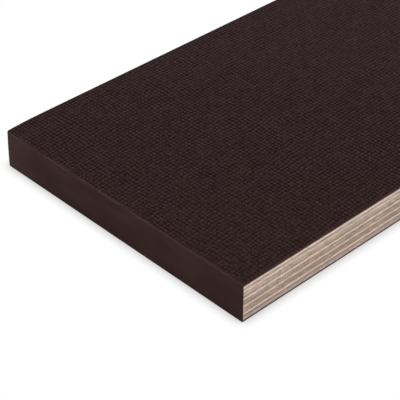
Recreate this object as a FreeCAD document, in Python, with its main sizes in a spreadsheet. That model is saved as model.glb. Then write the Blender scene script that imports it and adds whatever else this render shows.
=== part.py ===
# Film faced plywood: the corner of a formwork panel, with sealed edges on two sides and sawn faces on two.
#
# Eleven veneers lie crosswise on each other between two phenolic films. The top film carries the imprint
# of a woven wire mesh, which makes it slip resistant, and the bottom film is smooth. A coat of edge paint
# seals the panel's own two edges and turns round its eased corner. The other two edges are saw cuts.
#
# +X runs along the sawn front, +Y across the board and +Z up. The origin is the middle of the underside.
# The sealed end faces -X, the sealed side +Y, the sawn front -Y and the sawn end +X.

import FreeCAD, Part
import math
import os

import Sketcher

# Driving dimensions in millimetres: alias, value, meaning.
SIZES = (
    ("board_length", 240.0, "along the sawn front, edge paint included"),
    ("board_width", 145.0, "along the sealed end, edge paint included"),
    ("film_thickness", 0.7, "each phenolic film"),
    ("face_thickness", 1.25, "veneer under the mesh film, grain along X"),
    ("back_thickness", 1.7, "veneer over the smooth film, grain along X"),
    ("crossband_veneer", 0.8, "under the face and over the back, grain along Y"),
    ("long_veneer", 1.25, "inner veneer, grain along X"),
    ("core_veneer", 2.35, "inner veneer, grain along Y"),
    ("seal_coat", 0.4, "edge paint on the two sealed edges"),
    ("eased_corner", 1.1, "radius of the panel's corner under the paint"),
    ("paint_arris", 0.3, "radius of the paint along the films' edges"),
    ("mesh_pitch", 1.9, "from wire to wire of the mesh imprint"),
    ("groove_radius", 1.0, "of the hollow that a wire leaves in the film"),
    ("groove_depth", 0.2, "of that hollow, below the film's top"),
)

# The lay-up from the bottom to the top: node name and the alias of its thickness.
LAYERS = (
    ("bottom_film", "film_thickness"),
    ("back_veneer", "back_thickness"),
    ("lower_crossband", "crossband_veneer"),
    ("long_veneer_1", "long_veneer"),
    ("core_veneer_1", "core_veneer"),
    ("long_veneer_2", "long_veneer"),
    ("core_veneer_2", "core_veneer"),
    ("long_veneer_3", "long_veneer"),
    ("core_veneer_3", "core_veneer"),
    ("long_veneer_4", "long_veneer"),
    ("upper_crossband", "crossband_veneer"),
    ("face_veneer", "face_thickness"),
    ("top_film", "film_thickness"),
)

# A fillet in the paint takes at most this share of the coat.
ARRIS_SHARE = 0.8
# Two lengths closer than this are the same.
SAME = 1e-4
# Sketch points by their role in Sketcher's numbering.
START, END, CENTRE = 1, 2, 3
ORIGIN = (-1, 1)

doc = FreeCAD.newDocument("film_faced_plywood")


def write_sheet():
    """The spreadsheet that holds the driving dimensions."""
    made = doc.addObject("Spreadsheet::Sheet", "Sizes")
    for row, (alias, value, meaning) in enumerate(SIZES, start=1):
        made.set(f"A{row}", alias)
        made.set(f"B{row}", str(value))
        made.set(f"C{row}", meaning)
        made.setAlias(f"B{row}", alias)
    doc.recompute()
    return made


sheet = write_sheet()


def size(alias):
    """A driving dimension as a number."""
    return float(sheet.get(alias))


def stacked(layers):
    """Expression for the height of a stack of layers."""
    return " + ".join(f"Sizes.{alias}" for _, alias in layers) or "0"


def plane(body, role):
    """One of a body's own origin planes or axes."""
    return next(f for f in body.Origin.OriginFeatures if f.Role == role)


def new_body(label):
    """An empty body whose label names its file."""
    body = doc.addObject("PartDesign::Body", label)
    body.Label = label
    return body


def new_sketch(body, name, role):
    """A sketch on one of the body's origin planes."""
    sketch = body.newObject("Sketcher::SketchObject", name)
    sketch.AttachmentSupport = [(plane(body, role), "")]
    sketch.MapMode = "FlatFace"
    return sketch


def fix(sketch, kind, *parts):
    """Adds one constraint."""
    return sketch.addConstraint(Sketcher.Constraint(kind, *parts))


def bind(sketch, name, expression, kind, *parts):
    """Adds one dimension and ties it to the sheet. The last of parts is its first value."""
    number = fix(sketch, kind, *parts)
    sketch.renameConstraint(number, name)
    sketch.setExpression(f"Constraints.{name}", expression)


def line(sketch, start, end):
    """Adds a straight line."""
    return sketch.addGeometry(Part.LineSegment(FreeCAD.Vector(*start), FreeCAD.Vector(*end)))


def quarter(sketch, centre, radius):
    """Adds a quarter arc that opens towards -X and +Y, from its top round to its left end."""
    circle = Part.Circle(FreeCAD.Vector(*centre), FreeCAD.Vector(0, 0, 1), radius)
    return sketch.addGeometry(Part.ArcOfCircle(circle, math.pi / 2, math.pi))


def draw_layer_outline(sketch):
    """A layer's plan: the board less its edge paint, with the panel's corner eased."""
    half_length, half_width = size("board_length") / 2, size("board_width") / 2
    coat, radius = size("seal_coat"), size("eased_corner")
    left, back = coat - half_length, half_width - coat
    front = line(sketch, (left, -half_width), (half_length, -half_width))
    right = line(sketch, (half_length, -half_width), (half_length, back))
    rear = line(sketch, (half_length, back), (left + radius, back))
    corner = quarter(sketch, (left + radius, back - radius), radius)
    end = line(sketch, (left, back - radius), (left, -half_width))
    for first, second in ((front, right), (right, rear), (end, front)):
        fix(sketch, "Coincident", first, END, second, START)
    fix(sketch, "Tangent", rear, END, corner, START)
    fix(sketch, "Tangent", corner, END, end, START)
    for level in (front, rear):
        fix(sketch, "Horizontal", level)
    for upright in (right, end):
        fix(sketch, "Vertical", upright)
    bind(sketch, "right_reach", "Sizes.board_length / 2", "DistanceX", *ORIGIN, right, START, half_length)
    bind(sketch, "front_reach", "Sizes.board_width / 2", "DistanceY", front, START, *ORIGIN, half_width)
    bind(sketch, "left_reach", "Sizes.board_length / 2 - Sizes.seal_coat",
         "DistanceX", end, END, *ORIGIN, -left)
    bind(sketch, "back_reach", "Sizes.board_width / 2 - Sizes.seal_coat",
         "DistanceY", *ORIGIN, rear, START, back)
    bind(sketch, "corner_radius", "Sizes.eased_corner", "Radius", corner, radius)


def make_layer(index):
    """One veneer or film: its plan, padded to its thickness and set on the layers below it."""
    label, alias = LAYERS[index]
    body = new_body(label)
    plan = new_sketch(body, label + "_plan", "XY_Plane")
    draw_layer_outline(plan)
    pad = body.newObject("PartDesign::Pad", label + "_pad")
    pad.Profile = plan
    pad.setExpression("Length", f"Sizes.{alias}")
    body.setExpression("Placement.Base.z", stacked(LAYERS[:index]))
    doc.recompute()
    return body


def press_mesh(body):
    """Presses the mesh's long wires into the top film: one groove, repeated at the mesh's pitch."""
    before = body.Shape.Volume
    first, radius = size("mesh_pitch") / 2 - size("board_width") / 2, size("groove_radius")
    above = size("film_thickness") + radius - size("groove_depth")
    wire = new_sketch(body, "mesh_wire", "YZ_Plane")
    ring = wire.addGeometry(Part.Circle(FreeCAD.Vector(first, above), FreeCAD.Vector(0, 0, 1), radius))
    bind(wire, "first_wire", "Sizes.board_width / 2 - Sizes.mesh_pitch / 2",
         "DistanceX", ring, CENTRE, *ORIGIN, -first)
    bind(wire, "wire_height", "Sizes.film_thickness + Sizes.groove_radius - Sizes.groove_depth",
         "DistanceY", *ORIGIN, ring, CENTRE, above)
    bind(wire, "wire_radius", "Sizes.groove_radius", "Radius", ring, radius)
    groove = body.newObject("PartDesign::Pocket", "mesh_groove")
    groove.Profile = wire
    groove.SideType = "Symmetric"
    groove.Type = "ThroughAll"
    doc.recompute()
    one_groove = before - body.Shape.Volume
    mesh = body.newObject("PartDesign::LinearPattern", "mesh_grooves")
    mesh.Originals = [groove]
    mesh.Direction = (wire, ["H_Axis"])
    mesh.Mode = "Spacing"
    mesh.setExpression("Offset", "Sizes.mesh_pitch")
    mesh.setExpression("Occurrences", "floor((Sizes.board_width - Sizes.seal_coat) / Sizes.mesh_pitch)")
    body.Tip = mesh
    doc.recompute()
    grooves = (before - body.Shape.Volume) / one_groove
    if abs(grooves - mesh.Occurrences) > 0.01 * mesh.Occurrences:
        raise RuntimeError(f"the mesh has {mesh.Occurrences} grooves, but {grooves:.2f} were cut")


def draw_seal_outline(sketch):
    """The edge paint's plan: an L along the sealed end and side, round the eased corner."""
    half_length, half_width = size("board_length") / 2, size("board_width") / 2
    coat, inner = size("seal_coat"), size("eased_corner")
    outer = inner + coat
    centre = (outer - half_length, half_width - outer)
    left, back = coat - half_length, half_width - coat
    side = line(sketch, (half_length, half_width), (centre[0], half_width))
    outer_corner = quarter(sketch, centre, outer)
    end = line(sketch, (-half_length, centre[1]), (-half_length, -half_width))
    front_cut = line(sketch, (-half_length, -half_width), (left, -half_width))
    end_back = line(sketch, (left, -half_width), (left, centre[1]))
    inner_corner = quarter(sketch, centre, inner)
    side_back = line(sketch, (centre[0], back), (half_length, back))
    right_cut = line(sketch, (half_length, back), (half_length, half_width))
    for first, second in ((end, front_cut), (front_cut, end_back), (side_back, right_cut), (right_cut, side)):
        fix(sketch, "Coincident", first, END, second, START)
    fix(sketch, "Tangent", side, END, outer_corner, START)
    fix(sketch, "Tangent", outer_corner, END, end, START)
    fix(sketch, "Tangent", inner_corner, END, end_back, END)
    fix(sketch, "Tangent", side_back, START, inner_corner, START)
    fix(sketch, "Coincident", outer_corner, CENTRE, inner_corner, CENTRE)
    for level in (side, side_back, front_cut):
        fix(sketch, "Horizontal", level)
    for upright in (end, end_back, right_cut):
        fix(sketch, "Vertical", upright)
    bind(sketch, "left_reach", "Sizes.board_length / 2", "DistanceX", end, END, *ORIGIN, half_length)
    bind(sketch, "front_reach", "Sizes.board_width / 2", "DistanceY", end, END, *ORIGIN, half_width)
    bind(sketch, "right_reach", "Sizes.board_length / 2", "DistanceX", *ORIGIN, side, START, half_length)
    bind(sketch, "back_reach", "Sizes.board_width / 2", "DistanceY", *ORIGIN, side, START, half_width)
    bind(sketch, "coat", "Sizes.seal_coat", "DistanceX", front_cut, START, front_cut, END, coat)
    bind(sketch, "corner_radius", "Sizes.eased_corner", "Radius", inner_corner, inner)


def outer_arrises(shape):
    """Names of the paint's outer edges along the two films."""
    half_length, half_width = size("board_length") / 2, size("board_width") / 2
    outer = size("eased_corner") + size("seal_coat")
    names = []
    for number, edge in enumerate(shape.Edges, start=1):
        box = edge.BoundBox
        on_end = box.XLength < SAME and abs(box.XMin + half_length) < SAME
        on_side = box.YLength < SAME and abs(box.YMax - half_width) < SAME
        on_corner = hasattr(edge.Curve, "Radius") and abs(edge.Curve.Radius - outer) < SAME
        if box.ZLength < SAME and max(box.XLength, box.YLength) > SAME and (on_end or on_side or on_corner):
            names.append(f"Edge{number}")
    return names


def make_seal():
    """The coat of edge paint, as tall as the board, with softly rounded arrises."""
    body = new_body("edge_seal")
    plan = new_sketch(body, "edge_seal_plan", "XY_Plane")
    draw_seal_outline(plan)
    pad = body.newObject("PartDesign::Pad", "edge_seal_pad")
    pad.Profile = plan
    pad.setExpression("Length", stacked(LAYERS))
    doc.recompute()
    arris = body.newObject("PartDesign::Fillet", "edge_seal_arris")
    arris.Base = (pad, outer_arrises(pad.Shape))
    arris.setExpression("Radius", f"min(Sizes.paint_arris; {ARRIS_SHARE} * Sizes.seal_coat)")
    doc.recompute()
    return body


def check(bodies):
    """Stops if a feature failed or a piece is not one sound solid."""
    for item in doc.Objects:
        if "Invalid" in item.State or "Error" in item.State:
            raise RuntimeError(f"{item.Label} failed: {item.State}")
    for body in bodies:
        shape = body.Shape
        if shape.isNull() or not shape.isValid() or len(shape.Solids) != 1:
            raise RuntimeError(f"{body.Label} is not one valid solid")


def main():
    bodies = [make_layer(index) for index in range(len(LAYERS))]
    press_mesh(bodies[-1])
    bodies.append(make_seal())
    check(bodies)
    os.makedirs("parts", exist_ok=True)
    for body in bodies:
        body.Shape.exportStep(f"parts/{body.Label}.step")
        box = body.Shape.BoundBox
        print(f"{body.Label}: {box.XLength:.2f} x {box.YLength:.2f} x {box.ZLength:.2f} mm at z {box.ZMin:.2f}")


main()
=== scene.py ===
"""Film faced plywood: the corner of a formwork panel, with its mesh film, sawn veneers and edge paint.

The smooth film is the frame's own solid with a finish. The other pieces stand in for the frame's solids:
the mesh film because its imprint has two crossing rows of wires, the veneers because glued veneers run a
little wavy, and the edge paint, a copy of the frame's coat, because the panel's corner has been knocked.
Lengths are metres, and MM turns millimetres into them.
"""

import math

import bmesh
import bpy
from mathutils import Matrix, Vector, noise


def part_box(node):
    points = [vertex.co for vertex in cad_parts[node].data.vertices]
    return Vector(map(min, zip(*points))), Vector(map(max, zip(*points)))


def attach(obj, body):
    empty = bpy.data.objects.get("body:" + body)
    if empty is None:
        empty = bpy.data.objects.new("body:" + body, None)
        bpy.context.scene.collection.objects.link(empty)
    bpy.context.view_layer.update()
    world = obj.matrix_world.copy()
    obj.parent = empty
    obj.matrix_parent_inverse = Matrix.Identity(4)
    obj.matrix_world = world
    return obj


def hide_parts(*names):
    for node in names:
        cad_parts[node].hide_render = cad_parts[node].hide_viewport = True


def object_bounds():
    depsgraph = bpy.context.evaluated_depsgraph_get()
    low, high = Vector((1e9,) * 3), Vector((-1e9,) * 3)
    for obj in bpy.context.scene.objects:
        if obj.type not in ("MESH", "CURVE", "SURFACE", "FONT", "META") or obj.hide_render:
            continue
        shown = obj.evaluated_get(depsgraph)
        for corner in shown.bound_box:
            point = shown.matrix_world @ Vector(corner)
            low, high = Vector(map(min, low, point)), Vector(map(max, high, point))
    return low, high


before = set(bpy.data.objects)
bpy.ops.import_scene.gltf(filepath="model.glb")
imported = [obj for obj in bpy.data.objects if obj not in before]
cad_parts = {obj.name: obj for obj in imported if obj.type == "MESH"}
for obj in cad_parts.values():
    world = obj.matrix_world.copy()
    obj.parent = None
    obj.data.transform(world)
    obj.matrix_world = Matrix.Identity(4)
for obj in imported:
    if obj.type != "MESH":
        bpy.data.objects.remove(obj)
cad_low, cad_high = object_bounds()
# The veneers lie between the two films.
stack_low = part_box("bottom_film")[1].z
stack_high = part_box("top_film")[0].z

MM = 0.001
# Points closer than this are one point.
MERGE = 0.001 * MM

# The photograph's view: a level camera that looks at a point in the middle of the board's thickness.
VIEW_AZIMUTH = math.radians(-43.767)
VIEW_ELEVATION = math.radians(36.447)
VIEW_DISTANCE = 603.92 * MM
VIEW_TARGET = Vector((-85.758, -13.495, 9.0)) * MM
LENS = 131.23
SENSOR = 36.0

# The mesh that was pressed into the film: a plain weave of wires, laid on with a slight turn.
MESH_PITCH = 1.9 * MM
MESH_TURN = math.radians(1.8)
# Grid steps from wire to wire: the wire's own line and the two edges of the pad between wires.
MESH_STEPS = 3
PAD_EDGE = 0.3
IMPRINT_DEPTH = 0.24 * MM
# Depths as shares of the imprint: where wires cross, beside a crossing on the wire that passes under
# or over the other one there, and on the pad that rises between the wires.
AT_CROSSING, UNDER_WIRE, OVER_WIRE, ON_PAD = 0.9, 0.8, 0.5, 0.0
# The wires wander by this much over distances of this size, and more slowly by the second pair.
WANDER_SEED = 1
WANDER = 0.7 * MM
WANDER_SPAN = 5 * MM
SLOW_WANDER = 1.5 * MM
SLOW_WANDER_SPAN = 22 * MM
# The press bears unevenly from patch to patch, and no two crossings or pads are alike.
PATCH_UNEVEN = 0.1
PATCH_SPAN = 9 * MM
CROSSING_UNEVEN = 0.16
PAD_UNEVEN = 0.15

# The mesh film's colour is one level, from FILM_DARK at 0 to FILM_LIGHT at 1, darker in the dents as
# painted shade in the hollows. The contrast of that level between pads and dents is lowest at the sawn
# corner, greatest at FAINT_REACH from it, and lower again by FADED_REACH. The levels on the pads and in
# the dents are given at the corner and at
# FAINT_REACH. By FADED_REACH the dents have gained FADED_GAIN.
FAINT_REACH = 120 * MM
FADED_REACH = 190 * MM
PAD_LEVELS = (0.54, 0.61)
DENT_LEVELS = (0.25, 0.07)
FADED_GAIN = 0.1
# How far the level sways with the paper's clouds, mottle and specks, what painted glints gain at most, and
# the power that the level is raised to.
CLOUD_SWAY = 0.04
MOTTLE_SWAY = 0.2
SPECK_SWAY = 0.08
PAINTED_GLINT_GAIN = 0.4
LEVEL_POWER = 1.5
# The edge paint laps over the film's rim at the painted end, drawn light there as wear and a painted
# highlight, and
# the sawn rim is a little frayed: how far each reaches, and its share of the colour at the very edge.
LAP_AND_HIGHLIGHT_REACH = 1.15 * MM
LAP_AND_HIGHLIGHT_SHARE = 0.62
FRAY_REACH = 1.7 * MM
FRAY_SHARE = 0.36

# The panel's corner under the edge paint, and the cuts that round it.
EASED_CORNER = 1.1 * MM
CORNER_CUTS = 6

# The panel's top corner has been knocked: everything within this reach of its tip is pushed in and down.
# The reach is the board's thickness, so the push ends at the underside. The cuts let the shapes follow it.
TIP = Vector((cad_low.x, cad_high.y, cad_high.z))
TIP_REACH = 18 * MM
KNOCK = Vector((0.28, -0.28, -0.48)) * MM
KNOCK_CUTS = 5

# The veneers from the bottom up: the direction of the grain, the tint of the wood, and by which share the
# wood is lighter at the veneer's top than in its middle.
LONG_GRAIN, CROSS_GRAIN = 0, 1
VENEERS = {
    "back_veneer": (LONG_GRAIN, (0.61, 0.62, 0.66), 0.0),
    "lower_crossband": (CROSS_GRAIN, (0.99, 0.95, 0.955), 0.0),
    "long_veneer_1": (LONG_GRAIN, (0.91, 0.90, 0.905), 0.0),
    "core_veneer_1": (CROSS_GRAIN, (0.90, 0.875, 0.86), 0.0),
    "long_veneer_2": (LONG_GRAIN, (0.87, 0.855, 0.84), 0.0),
    "core_veneer_2": (CROSS_GRAIN, (0.93, 0.92, 0.915), -0.01),
    "long_veneer_3": (LONG_GRAIN, (0.96, 0.955, 0.955), 0.0),
    "core_veneer_3": (CROSS_GRAIN, (1.04, 1.075, 1.075), 0.13),
    "long_veneer_4": (LONG_GRAIN, (0.89, 0.91, 0.89), 0.0),
    "upper_crossband": (CROSS_GRAIN, (1.205, 1.225, 1.235), 0.0),
    "face_veneer": (LONG_GRAIN, (0.975, 0.97, 0.995), 0.0),
}
# How far the wood darkens and lightens, for long grain and for cross grain: in slow drifts, in growth
# rings, by its fibres, in thin streaks and by its flecks. Pores are darker than the wood round them.
DRIFT_SWING = (0.03, 0.13)
RING_SWING = (0.02, 0.14)
FIBRE_SWING = (0.05, 0.11)
STREAK_SWING = (0.27, 0.33)
FLECK_SWING = (0.16, 0.19)
PORE_SHADE = 0.8
# The borders between veneers rise and fall by this much over distances of this size. Where their noise is
# read they lie BORDER_SPREAD times further apart, so that no two borders are alike. A veneer's points lie
# about VENEER_STEP apart.
WAVE = 0.07 * MM
WAVE_SPAN = 11 * MM
BORDER_SPREAD = 10
VENEER_STEP = 5 * MM
# Glue shows as a dark line, about this far into the veneer on either side of a border, and covers the wood
# by this share. End grain has drunk some of it: it is darker by SOAK_SHADE at the border, and has its own
# colour again at SOAK_DEPTH.
GLUE_HALF = 0.05 * MM
GLUE_SHARE = 0.7
SOAK_DEPTH = 0.8 * MM
SOAK_SHADE = 0.23

# The edge paint is drawn lighter at the top than at the bottom, a painted shade towards the floor, with a
# fine grain from the roller. It is lighter along the top film's edge, from this far below it and by a
# share that changes from patch to patch, as wear and a painted highlight on the arris, and lighter round
# the knocked corner as a scuff and painted light.
PAINTED_SHADE_LEVELS = (0.9, 1.04)
PAINT_GRAIN_SWING = 0.06
WEAR_AND_HIGHLIGHT_REACH = 0.9 * MM
WEAR_AND_HIGHLIGHT_SHARES = (0.15, 0.9)
SCUFF_AND_LIGHT_REACH = 22 * MM
SCUFF_AND_LIGHT_SHARE = 0.45
# How far the smooth film darkens and lightens by its fibres.
SMOOTH_FILM_FIBRE_SWING = 0.07

# Colours, as linear red, green and blue.
PALE_WOOD = (0.69, 0.555, 0.468)
END_GRAIN_WOOD = (0.43, 0.320, 0.253)
ROSY_TINT = (1.02, 0.97, 0.97)
GLUE = (0.13, 0.075, 0.055)
FILM_LIGHT = (0.0526, 0.0294, 0.0291)
FILM_DARK = (0.0085, 0.0, 0.0)
FILM_EDGE = (0.085, 0.045, 0.028)
LAPPED_FILM_AND_HIGHLIGHT = (0.05, 0.028, 0.027)
FRAYED_FILM = (0.062, 0.031, 0.018)
SMOOTH_FILM = (0.024, 0.011, 0.011)
SMOOTH_FILM_CLOUD = (0.032, 0.015, 0.014)
SMOOTH_FILM_EDGE = (0.06, 0.028, 0.016)
PAINT = (0.0365, 0.0148, 0.0148)
PAINT_CLOUD = (0.033, 0.013, 0.013)
WORN_AND_LIT_PAINT = (0.062, 0.033, 0.031)
FLOOR_WHITE = (0.85, 0.85, 0.85)
WHITE = (1.0, 1.0, 1.0)

# Roughness: of wood, of the mesh film from its pads to its dents, of the others as their clouds change.
WOOD_ROUGHNESS = 0.7
MESH_FILM_ROUGHNESS = (0.48, 0.66)
SMOOTH_FILM_ROUGHNESS = (0.28, 0.38)
PAINT_ROUGHNESS = (0.52, 0.66)
FLOOR_ROUGHNESS = 1.0
# Noise runs from 0 to 1 and seldom leaves this range.
NOISE_LOW, NOISE_HIGH = 0.25, 0.75

# The light: an even surround, and one softbox that faces the middle of the board.
AMBIENT = 0.7
SOFTBOX_AZIMUTH = math.radians(-35.0)
SOFTBOX_ELEVATION = math.radians(60.0)
SOFTBOX_DISTANCE = 1.4
SOFTBOX_SIZE = 1.2
SOFTBOX_WATTS = 8.5

# The floor lies a little below the board, and a thin dark line shows between them.
FLOOR_DROP = 0.12 * MM
FLOOR_SIZE = 6.0
# The board's soft shadow on the floor: how far it reaches, the power that its light is raised to, and the
# shares of open surround between which it sinks to black.
SHADOW_REACH = 5 * MM
SHADOW_POWER = 0.6
BLACK_BELOW, GREY_ABOVE = 0.3, 0.5


class Nodes:
    """A node tree, with short calls for the nodes that it is made of."""

    def __init__(self, tree):
        self.tree = tree

    def put(self, socket, value):
        """Links a socket to another one, or sets it to a plain value."""
        if isinstance(value, bpy.types.NodeSocket):
            self.tree.links.new(value, socket)
        elif socket.type == "RGBA":
            socket.default_value = (*value, 1.0)
        else:
            socket.default_value = value

    def add(self, kind, inputs=None, **settings):
        """Adds one node."""
        node = self.tree.nodes.new(kind)
        for name, value in settings.items():
            setattr(node, name, value)
        for name, value in (inputs or {}).items():
            self.put(node.inputs[name], value)
        return node

    def math(self, operation, first, second=0.0):
        """One step of arithmetic."""
        return self.add("ShaderNodeMath", {0: first, 1: second}, operation=operation).outputs[0]

    def shown(self):
        """1 where the set itself is seen: by the camera, in a reflection or through glass."""
        path = self.add("ShaderNodeLightPath").outputs
        mirrored = self.math("MAXIMUM", path["Is Glossy Ray"], path["Is Transmission Ray"])
        return self.math("MAXIMUM", path["Is Camera Ray"], mirrored)


class Finish(Nodes):
    """One procedural material."""

    def __init__(self, name, specular):
        self.material = bpy.data.materials.new(name)
        self.material.use_nodes = True
        super().__init__(self.material.node_tree)
        self.shader = self.tree.nodes["Principled BSDF"]
        self.shader.inputs["Specular IOR Level"].default_value = specular
        self.place = self.add("ShaderNodeTexCoord").outputs["Object"]

    def times(self, vector, factors):
        """Multiplies a vector, axis by axis."""
        return self.add("ShaderNodeVectorMath", {0: vector, 1: factors}, operation="MULTIPLY").outputs[0]

    def noise(self, per_mm, detail=2.0):
        """Noise from 0 to 1 with so many features per millimetre along X, Y and Z."""
        scaled = self.times(self.place, [features / MM for features in per_mm])
        inputs = {"Vector": scaled, "Scale": 1.0, "Detail": detail}
        return self.add("ShaderNodeTexNoise", inputs).outputs["Fac"]

    def attribute(self, name):
        """A value that the piece's own points carry."""
        return self.add("ShaderNodeAttribute", attribute_name=name).outputs["Fac"]

    def along(self, axis):
        """Place along X, Y or Z."""
        return self.add("ShaderNodeSeparateXYZ", {"Vector": self.place}).outputs[axis]

    def facing(self, axis):
        """How squarely the surface faces along an axis, from 0 to 1."""
        normal = self.add("ShaderNodeNewGeometry").outputs["True Normal"]
        return self.math("ABSOLUTE", self.add("ShaderNodeSeparateXYZ", {"Vector": normal}).outputs[axis])

    def distance(self, x, y):
        """Distance from an upright line, in plan."""
        inputs = {0: self.times(self.place, (1.0, 1.0, 0.0)), 1: (x, y, 0.0)}
        return self.add("ShaderNodeVectorMath", inputs, operation="DISTANCE").outputs["Value"]

    def spread(self, value, start, end, to_start=0.0, to_end=1.0):
        """Maps a range onto another one, smoothly and without overshoot."""
        inputs = {"Value": value, "From Min": start, "From Max": end, "To Min": to_start, "To Max": to_end}
        return self.add("ShaderNodeMapRange", inputs, interpolation_type="SMOOTHSTEP").outputs["Result"]

    def mix(self, factor, first, second, kind="MIX"):
        """Mixes two colours."""
        inputs = {0: factor, 6: first, 7: second}
        return self.add("ShaderNodeMix", inputs, data_type="RGBA", blend_type=kind).outputs[2]

    def shade(self, colour, level):
        """Multiplies a colour by a level."""
        grey = self.add("ShaderNodeCombineColor", {"Red": level, "Green": level, "Blue": level})
        return self.mix(1.0, colour, grey.outputs["Color"], "MULTIPLY")

    def tone(self, colour, value, swing):
        """Darkens and lightens a colour by noise."""
        return self.shade(colour, self.spread(value, NOISE_LOW, NOISE_HIGH, 1.0 - swing, 1.0 + swing))

    def sway(self, level, value, amount):
        """Raises and lowers a level by noise."""
        return self.math("ADD", level, self.spread(value, NOISE_LOW, NOISE_HIGH, -amount, amount))

    def cut_edge(self, colour, inside):
        """Shows the brown inside of a film on its upright faces."""
        return self.mix(self.spread(self.facing("Z"), 0.3, 0.1), colour, inside)

    def bump(self, height, strength, distance, under=None):
        """Bump from a height, on top of another bump if there is one."""
        inputs = {"Height": height, "Strength": strength, "Distance": distance}
        if under:
            inputs["Normal"] = under
        return self.add("ShaderNodeBump", inputs).outputs["Normal"]

    def finished(self, colour, roughness, relief=None):
        """Gives the shader its colour, roughness and bump, and returns the finished material."""
        self.put(self.shader.inputs["Base Color"], colour)
        self.put(self.shader.inputs["Roughness"], roughness)
        if relief:
            self.put(self.shader.inputs["Normal"], relief)
        return self.material


def stretched(grain, along, across):
    """Features per millimetre of something drawn out along the grain."""
    return [along if axis == grain else across for axis in range(3)]


def mark_wood(wood, colour, grain, fibres):
    """Adds what grew in the wood: rosy patches, drifts, rings, fibres, streaks, flecks and pores."""
    rosy = wood.spread(wood.noise((0.06, 0.06, 0.2)), 0.45, 0.7)
    colour = wood.mix(1.0, colour, wood.mix(rosy, WHITE, ROSY_TINT), "MULTIPLY")
    drifts = wood.noise((0.09, 0.09, 0.3), detail=3.0)
    rings = wood.noise((0.05, 0.05, 1.2), detail=3.0)
    streaks = wood.noise((0.35, 0.35, 3.2))
    flecks = wood.noise((1.2, 1.2, 2.4))
    colour = wood.tone(colour, drifts, DRIFT_SWING[grain])
    colour = wood.tone(colour, rings, RING_SWING[grain])
    colour = wood.tone(colour, fibres, FIBRE_SWING[grain])
    colour = wood.tone(colour, streaks, STREAK_SWING[grain])
    colour = wood.tone(colour, flecks, FLECK_SWING[grain])
    pores = wood.noise(stretched(grain, 0.2, 6.0), detail=1.0)
    return wood.shade(colour, wood.spread(pores, 0.3, 0.4, PORE_SHADE, 1.0))


def glue_wood(wood, colour, share, thickness, end_grain):
    """Adds the glue at the veneer's two borders: what end grain has drunk, and an uneven dark line."""
    nearest = wood.math("MINIMUM", share, wood.math("SUBTRACT", 1.0, share))
    from_glue = wood.math("MULTIPLY", nearest, thickness)
    soaked = wood.math("MULTIPLY", end_grain, wood.spread(from_glue, 0.0, SOAK_DEPTH, SOAK_SHADE, 0.0))
    colour = wood.shade(colour, wood.math("SUBTRACT", 1.0, soaked))
    uneven = wood.noise((0.5, 0.5, 0.5), detail=3.0)
    glue_edge = wood.spread(uneven, 0.3, 0.7, 0.5 * GLUE_HALF, 1.5 * GLUE_HALF)
    glued = wood.math("LESS_THAN", from_glue, glue_edge)
    return wood.mix(wood.math("MULTIPLY", glued, GLUE_SHARE), colour, GLUE)


def veneer_finish(node, grain, tint, lean):
    """Sawn wood: pale where the saw ran along the grain, darker where it ran across it."""
    low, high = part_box(node)
    wood = Finish(node + "_wood", specular=0.15)
    end_grain = wood.spread(wood.facing(grain), 0.4, 0.8)
    fibres = wood.noise(stretched(grain, 0.08, 3.5), detail=4.0)
    share = wood.attribute("share")
    colour = wood.mix(end_grain, PALE_WOOD, END_GRAIN_WOOD)
    colour = wood.mix(1.0, colour, tint, "MULTIPLY")
    colour = mark_wood(wood, colour, grain, fibres)
    colour = wood.shade(colour, wood.spread(share, 0.0, 1.0, 1.0 - lean, 1.0 + lean))
    colour = glue_wood(wood, colour, share, high.z - low.z, end_grain)
    saw_marks = wood.noise((1.8, 1.8, 0.12))
    relief = wood.bump(saw_marks, strength=0.25, distance=0.05 * MM)
    relief = wood.bump(fibres, strength=0.3, distance=0.05 * MM, under=relief)
    return wood.finished(colour, WOOD_ROUGHNESS, relief)


def film_level(film, dent, specks):
    """The mesh film's level: lighter on the pads, darker in the wires' dents as painted shade, with
    painted glints, mottled by its paper.
    """
    from_corner = film.distance(cad_low.x, cad_low.y)
    on_pads = film.spread(from_corner, 0.0, FAINT_REACH, *PAD_LEVELS)
    in_dents = film.spread(from_corner, 0.0, FAINT_REACH, *DENT_LEVELS)
    faded = film.spread(from_corner, FAINT_REACH, FADED_REACH, 0.0, FADED_GAIN)
    in_dents = film.math("ADD", in_dents, faded)
    # Painted shade: the dents are drawn darker than the pads, standing for shade in the hollows.
    level = film.spread(dent, ON_PAD, AT_CROSSING, on_pads, in_dents)
    level = film.sway(level, film.noise((0.12, 0.12, 0.12)), CLOUD_SWAY)
    level = film.sway(level, film.noise((1.3, 1.3, 1.3)), MOTTLE_SWAY)
    level = film.sway(level, specks, SPECK_SWAY)
    # Painted glints: bright points scattered over the film.
    glint_spots = film.noise((1.6, 1.6, 1.6), detail=0.0)
    level = film.math("ADD", level, film.spread(glint_spots, 0.55, 0.8, 0.0, PAINTED_GLINT_GAIN))
    return film.math("POWER", film.math("MAXIMUM", level, 0.0), LEVEL_POWER)


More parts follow.
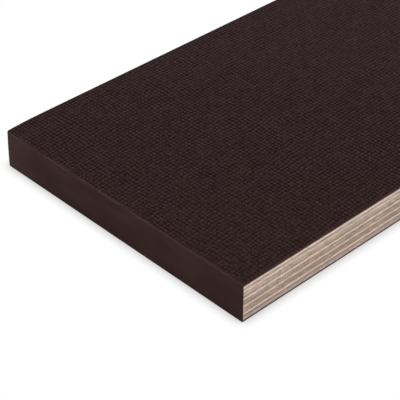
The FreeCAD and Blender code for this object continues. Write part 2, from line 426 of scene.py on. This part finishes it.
def rim_film(film, colour):
    """Adds the paint that laps over the film at the painted end, drawn light as wear and a painted
    highlight, and the fray along the sawn sides.
    """
    low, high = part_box("top_film")
    # Painted highlight: the lap at the painted end is drawn as light as the paint's arris, as wear and
    # highlight together.
    lapped_and_highlight = film.spread(film.along("X"), low.x + LAP_AND_HIGHLIGHT_REACH, low.x, 0.0, LAP_AND_HIGHLIGHT_SHARE)
    colour = film.mix(lapped_and_highlight, colour, LAPPED_FILM_AND_HIGHLIGHT)
    from_front = film.math("SUBTRACT", film.along("Y"), low.y)
    from_far_end = film.math("SUBTRACT", high.x, film.along("X"))
    from_saw = film.math("MINIMUM", from_front, from_far_end)
    frayed = film.spread(from_saw, FRAY_REACH, 0.0, 0.0, FRAY_SHARE)
    return film.mix(frayed, colour, FRAYED_FILM)


def mesh_film_finish():
    """Phenolic film with the mesh's imprint: matt, with painted shade in its dents, lighter at its rim by
    wear and a painted highlight, and brown where it is cut.
    """
    film = Finish("mesh_film", specular=0.04)
    dent = film.attribute("imprint")
    specks = film.noise((4.0, 4.0, 4.0), detail=3.0)
    colour = film.mix(film_level(film, dent, specks), FILM_DARK, FILM_LIGHT)
    colour = film.cut_edge(rim_film(film, colour), FILM_EDGE)
    roughness = film.spread(dent, 0.0, 1.0, *MESH_FILM_ROUGHNESS)
    return film.finished(colour, roughness, film.bump(specks, strength=0.2, distance=0.03 * MM))


def smooth_film_finish():
    """Phenolic film without an imprint: satin, with the faint clouds of its paper."""
    film = Finish("smooth_film", specular=0.12)
    clouds = film.noise((0.08, 0.08, 0.08), detail=4.0)
    colour = film.mix(film.spread(clouds, 0.35, 0.65), SMOOTH_FILM, SMOOTH_FILM_CLOUD)
    fibres = film.noise((2.5, 0.6, 2.0), detail=4.0)
    colour = film.tone(colour, fibres, SMOOTH_FILM_FIBRE_SWING)
    colour = film.cut_edge(colour, SMOOTH_FILM_EDGE)
    peel = film.noise((0.5, 0.5, 0.5))
    roughness = film.spread(clouds, 0.3, 0.7, *SMOOTH_FILM_ROUGHNESS)
    return film.finished(colour, roughness, film.bump(peel, strength=0.12, distance=0.05 * MM))


def edge_paint_finish():
    """Rolled edge paint: matt, cloudy, with painted shade towards the bottom, wear and a painted highlight
    along the top, a scuff and painted light round the knocked corner, and the veneers just felt through
    it.
    """
    paint = Finish("edge_paint", specular=0.04)
    clouds = paint.noise((0.06, 0.06, 0.15), detail=3.0)
    colour = paint.mix(paint.spread(clouds, 0.35, 0.65), PAINT, PAINT_CLOUD)
    grain = paint.noise((3.0, 3.0, 3.0), detail=3.0)
    colour = paint.tone(colour, grain, PAINT_GRAIN_SWING)
    height = paint.along("Z")
    # Painted shade: the paint is drawn darker towards the floor and lighter towards the top.
    colour = paint.shade(colour, paint.spread(height, cad_low.z, cad_high.z, *PAINTED_SHADE_LEVELS))
    # Wear along the top edge, drawn lighter with a painted highlight on the arris.
    from_film = paint.math("SUBTRACT", cad_high.z, height)
    patches = paint.noise((0.12, 0.12, 0.3), detail=4.0)
    patchy = paint.spread(patches, 0.38, 0.62, *WEAR_AND_HIGHLIGHT_SHARES)
    wear_and_highlight = paint.math("MULTIPLY", paint.spread(from_film, WEAR_AND_HIGHLIGHT_REACH, 0.0), patchy)
    # A scuff round the knocked corner, with painted light falling on the rounded corner.
    scuff_and_light = paint.spread(paint.distance(TIP.x, TIP.y), SCUFF_AND_LIGHT_REACH, 0.0, 0.0, SCUFF_AND_LIGHT_SHARE)
    colour = paint.mix(paint.math("ADD", wear_and_highlight, scuff_and_light), colour, WORN_AND_LIT_PAINT)
    veneers = paint.noise((0.03, 0.03, 0.55))
    relief = paint.bump(veneers, strength=0.3, distance=0.1 * MM)
    relief = paint.bump(grain, strength=0.25, distance=0.04 * MM, under=relief)
    return paint.finished(colour, paint.spread(clouds, 0.3, 0.7, *PAINT_ROUGHNESS), relief)


def finish_piece(name, shape, material, slot, *nodes):
    """Makes a shape an object that stands for CAD nodes and moves with the board."""
    mesh = bpy.data.meshes.new(name)
    shape.to_mesh(mesh)
    shape.free()
    mesh.materials.append(material)
    piece = bpy.data.objects.new(name, mesh)
    bpy.context.collection.objects.link(piece)
    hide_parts(*nodes)
    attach(piece, "root")


def give_finish(node, material):
    """Gives a CAD node its finish."""
    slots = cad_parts[node].data.materials
    slots.clear()
    slots.append(material)


def cut(shape, point, outward, keep=False):
    """Cuts a shape along a plane, and takes off what lies beyond it unless that is kept."""
    everything = [*shape.verts, *shape.edges, *shape.faces]
    bmesh.ops.bisect_plane(
        shape, geom=everything, dist=MERGE, plane_co=point, plane_no=outward, clear_outer=not keep
    )


def ease_corner(sheet, low, high):
    """Rounds the panel's corner, where the painted end and the painted side meet."""
    centre = Vector((low.x + EASED_CORNER, high.y - EASED_CORNER, high.z))
    for step in range(1, CORNER_CUTS):
        angle = math.pi / 2 * (1 + step / CORNER_CUTS)
        outward = Vector((math.cos(angle), math.sin(angle), 0.0))
        cut(sheet, centre + outward * EASED_CORNER, outward)


def knock(shape):
    """Pushes in the panel's knocked corner, after cutting finely what has to follow the push."""
    for outward in (Vector((-1, 0, 0)), Vector((0, 1, 0)), Vector((0, 0, 1))):
        for step in range(1, KNOCK_CUTS + 1):
            cut(shape, TIP - outward * TIP_REACH * step / KNOCK_CUTS, outward, keep=True)
    for point in shape.verts:
        near = max(0.0, 1.0 - (point.co - TIP).length / TIP_REACH)
        point.co += KNOCK * near ** 2


def cell_noise(first, second):
    """A value from -1 to 1 of its own for each pair of whole numbers."""
    return noise.cell(Vector((first + 0.5, second + 0.5, 0.5)))


def imprint_share(column, row, place):
    """Depth at one point of the mesh grid, as a share of the imprint."""
    crossing = ((column + 1) // MESH_STEPS, (row + 1) // MESH_STEPS)
    aside = (column - MESH_STEPS * crossing[0], row - MESH_STEPS * crossing[1])
    if aside[0] and aside[1]:
        return ON_PAD + PAD_UNEVEN * max(0.0, cell_noise(column // MESH_STEPS, row // MESH_STEPS))
    if aside == (0, 0):
        share = AT_CROSSING
    else:
        along_x = aside[1] == 0
        x_wire_is_under = sum(crossing) % 2 == 1
        share = UNDER_WIRE if along_x == x_wire_is_under else OVER_WIRE
    patch = 1.0 + PATCH_UNEVEN * noise.noise(place / PATCH_SPAN)
    return share * patch * (1.0 + CROSSING_UNEVEN * cell_noise(*crossing))


def mesh_place(step):
    """Distance of a grid line from the mesh's first wire, in pitches."""
    return step // MESH_STEPS + (0.0, PAD_EDGE, 1.0 - PAD_EDGE)[step % MESH_STEPS]


def press_mesh(sheet, cells, top):
    """Moves the points of an even grid to the wires and pads, and down into the imprint."""
    noise.seed_set(WANDER_SEED)
    imprint = sheet.verts.layers.float.new("imprint")
    first = Vector((-cells[0] / 2, -cells[1] / 2, 0.0))
    for point in sheet.verts:
        column = round((point.co.x / MESH_PITCH - first.x) * MESH_STEPS)
        row = round((point.co.y / MESH_PITCH - first.y) * MESH_STEPS)
        place = (first + Vector((mesh_place(column), mesh_place(row), 0.0))) * MESH_PITCH
        share = imprint_share(column, row, place)
        drift = noise.noise_vector(place / WANDER_SPAN) * WANDER
        drift += noise.noise_vector(place / SLOW_WANDER_SPAN) * SLOW_WANDER
        point[imprint] = share
        point.co = place + Vector((drift.x, drift.y, top - share * IMPRINT_DEPTH))


def close_below(sheet, bottom):
    """Turns the open sheet into a closed body down to a flat underside."""
    for face in sheet.faces:
        face.smooth = True
    rim = [edge for edge in sheet.edges if edge.is_boundary]
    for edge in rim:
        edge.smooth = False
    made = bmesh.ops.extrude_edge_only(sheet, edges=rim)["geom"]
    for item in made:
        if isinstance(item, bmesh.types.BMVert):
            item.co.z = bottom
    lower = [item for item in made if isinstance(item, bmesh.types.BMEdge) and item.is_boundary]
    bmesh.ops.contextual_create(sheet, geom=lower)
    bmesh.ops.recalc_face_normals(sheet, faces=sheet.faces)


def make_mesh_film():
    """The top film, with the whole woven imprint."""
    low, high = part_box("top_film")
    middle = (low + high) / 2
    half = (high - low) / 2
    turn = Matrix.Rotation(MESH_TURN, 4, "Z")
    sine, cosine = math.sin(MESH_TURN), math.cos(MESH_TURN)
    reach = (half.x * cosine + half.y * sine, half.y * cosine + half.x * sine)
    cells = [2 * (math.ceil(length / MESH_PITCH) + 1) for length in reach]
    size = Matrix.Diagonal((cells[0] * MESH_PITCH / 2, cells[1] * MESH_PITCH / 2, 1.0, 1.0))
    sheet = bmesh.new()
    bmesh.ops.create_grid(
        sheet, x_segments=cells[0] * MESH_STEPS, y_segments=cells[1] * MESH_STEPS, size=1.0, matrix=size
    )
    press_mesh(sheet, cells, high.z)
    shift = Matrix.Translation((middle.x, middle.y, 0.0))
    bmesh.ops.transform(sheet, matrix=shift @ turn, verts=sheet.verts)
    for corner, outward in ((low, (-1, 0, 0)), (low, (0, -1, 0)), (high, (1, 0, 0)), (high, (0, 1, 0))):
        cut(sheet, corner, outward)
    ease_corner(sheet, low, high)
    close_below(sheet, low.z)
    knock(sheet)
    finish_piece("mesh_film", sheet, mesh_film_finish(), "mesh_film", "top_film")


def border_height(place, level):
    """Height of a veneer's border: a little wavy between two veneers, flat against a film."""
    if level < stack_low + MERGE or level > stack_high - MERGE:
        return level
    return level + WAVE * noise.noise(Vector((place.x, place.y, BORDER_SPREAD * level)) / WAVE_SPAN)


def make_veneer(node, grain, tint, lean):
    """One veneer, as a sheet between two borders. Its points carry their share of its thickness."""
    low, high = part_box(node)
    middle = (low + high) / 2
    half = (high - low) / 2
    steps = [round(2 * length / VENEER_STEP) for length in half.xy]
    spot = Matrix.Translation(middle) @ Matrix.Diagonal((half.x, half.y, 1.0, 1.0))
    sheet = bmesh.new()
    bmesh.ops.create_grid(sheet, x_segments=steps[0], y_segments=steps[1], size=1.0, matrix=spot)
    ease_corner(sheet, low, high)
    share = sheet.verts.layers.float.new("share")
    made = bmesh.ops.extrude_face_region(sheet, geom=sheet.faces)["geom"]
    for item in made:
        if isinstance(item, bmesh.types.BMVert):
            item[share] = 1.0
    for point in sheet.verts:
        point.co.z = border_height(point.co, high.z if point[share] else low.z)
    knock(sheet)
    bmesh.ops.recalc_face_normals(sheet, faces=sheet.faces)
    slot = "long_grain_veneer" if grain == LONG_GRAIN else "cross_grain_veneer"
    wood = veneer_finish(node, grain, tint, lean)
    finish_piece("sawn_" + node, sheet, wood, slot, node)


def make_paint():
    """The edge paint: a copy of the frame's coat, with the knocked corner."""
    coat = bmesh.new()
    coat.from_mesh(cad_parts["edge_seal"].data)
    bmesh.ops.remove_doubles(coat, verts=coat.verts, dist=MERGE)
    knock(coat)
    finish_piece("rolled_paint", coat, edge_paint_finish(), "edge_paint", "edge_seal")


def floor_finish():
    """White paper that shows as plain white, apart from the soft shadow close to the board."""
    paper = Finish("floor_white", specular=0.0)
    open_above = paper.add("ShaderNodeAmbientOcclusion", {"Distance": SHADOW_REACH}).outputs["AO"]
    shadow = paper.math("POWER", open_above, SHADOW_POWER)
    shadow = paper.math("MULTIPLY", shadow, paper.spread(open_above, BLACK_BELOW, GREY_ABOVE))
    glow = paper.add("ShaderNodeEmission", {"Strength": shadow}).outputs[0]
    lit = paper.shader.outputs[0]
    surface = paper.add("ShaderNodeMixShader", {0: paper.shown(), 1: lit, 2: glow}).outputs[0]
    paper.put(paper.tree.nodes["Material Output"].inputs["Surface"], surface)
    return paper.finished(FLOOR_WHITE, FLOOR_ROUGHNESS)


def make_floor():
    """The floor under the board."""
    shape = bmesh.new()
    bmesh.ops.create_grid(shape, x_segments=1, y_segments=1, size=FLOOR_SIZE / 2)
    bmesh.ops.translate(shape, verts=shape.verts, vec=(0.0, 0.0, cad_low.z - FLOOR_DROP))
    mesh = bpy.data.meshes.new("floor")
    shape.to_mesh(mesh)
    shape.free()
    mesh.materials.append(floor_finish())
    floor = bpy.data.objects.new("floor", mesh)
    bpy.context.collection.objects.link(floor)


def make_world():
    """An even surround, which shows as plain white."""
    world = bpy.data.worlds.new("surround")
    world.use_nodes = True
    nodes = Nodes(world.node_tree)
    sky = world.node_tree.nodes["Background"]
    nodes.put(sky.inputs["Color"], WHITE)
    nodes.put(sky.inputs["Strength"], nodes.math("MAXIMUM", nodes.shown(), AMBIENT))
    bpy.context.scene.world = world


def aim(item, target, azimuth, elevation, distance):
    """Places a camera or lamp in a direction from a target, facing it."""
    level = math.cos(elevation)
    away = Vector((math.sin(azimuth) * level, -math.cos(azimuth) * level, math.sin(elevation)))
    item.location = target + away * distance
    item.rotation_euler = away.to_track_quat("Z", "Y").to_euler()
    bpy.context.collection.objects.link(item)


def make_softbox():
    """A large square lamp that faces the middle of the board."""
    lamp = bpy.data.lights.new("softbox", "AREA")
    lamp.shape = "SQUARE"
    lamp.size = SOFTBOX_SIZE
    lamp.energy = SOFTBOX_WATTS
    softbox = bpy.data.objects.new("softbox", lamp)
    aim(softbox, Vector(), SOFTBOX_AZIMUTH, SOFTBOX_ELEVATION, SOFTBOX_DISTANCE)


def make_camera():
    """The photograph's camera."""
    lens = bpy.data.cameras.new("photograph")
    lens.lens = LENS
    lens.sensor_width = SENSOR
    lens.clip_start = 1 * MM
    camera = bpy.data.objects.new("photograph", lens)
    aim(camera, VIEW_TARGET, VIEW_AZIMUTH, VIEW_ELEVATION, VIEW_DISTANCE)
    bpy.context.scene.camera = camera


def main():
    """Dresses the board and sets it in its light."""
    bpy.context.scene.view_settings.view_transform = "Standard"
    make_mesh_film()
    for node, (grain, tint, lean) in VENEERS.items():
        make_veneer(node, grain, tint, lean)
    give_finish("bottom_film", smooth_film_finish())
    make_paint()
    make_floor()
    make_world()
    make_softbox()
    make_camera()


main()
